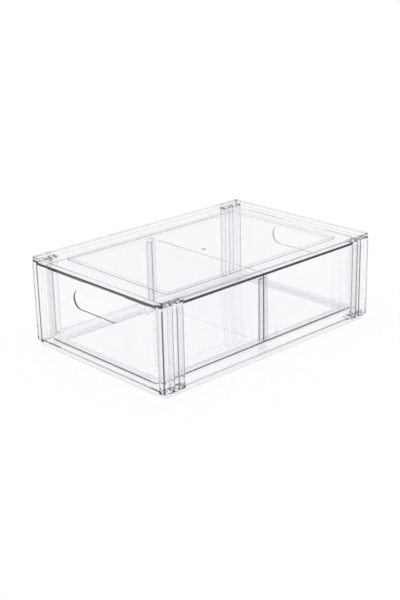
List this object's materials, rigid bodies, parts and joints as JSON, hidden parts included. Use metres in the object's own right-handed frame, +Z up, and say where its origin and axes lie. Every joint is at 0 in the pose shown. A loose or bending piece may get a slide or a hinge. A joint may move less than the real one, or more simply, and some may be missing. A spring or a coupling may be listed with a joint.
{
  "type": "stackable drawer box",
  "caption": "Clear stackable drawer box: a case of base, corner legs and rimmed top cover holds a sliding drawer with a lift-out divider.",
  "frame": {"origin": "centre of the footprint, on the surface that the foot rests on", "axes": "+Z up, +Y towards the back, so the drawer's front faces -Y and the drawer pulls out along -Y; +X to the right as seen from the front"},
  "size_m": [0.225, 0.333, 0.108],
  "materials": {
    "clear_case": "gloss",
    "clear_leg": "gloss",
    "clear_drawer": "gloss",
    "clear_divider": "gloss"
  },
  "bodies": {
    "case": {"base": "clear_case", "leg_front_left": "clear_leg", "leg_front_right": "clear_leg", "leg_rear_left": "clear_leg", "leg_rear_right": "clear_leg", "top_cover": "clear_case"},
    "drawer": {"drawer": "clear_drawer"},
    "divider": {"divider": "clear_divider"}
  },
  "joints": [
    {"name": "drawer_slide", "type": "slide", "parent": "case", "child": "drawer", "axis": [0, -1, 0], "range_m": [-0.3, 0.3]},
    {"name": "divider_lift", "type": "slide", "parent": "drawer", "child": "divider", "axis": [0, 0, 1], "range_m": [0, 0.006]}
  ]
}
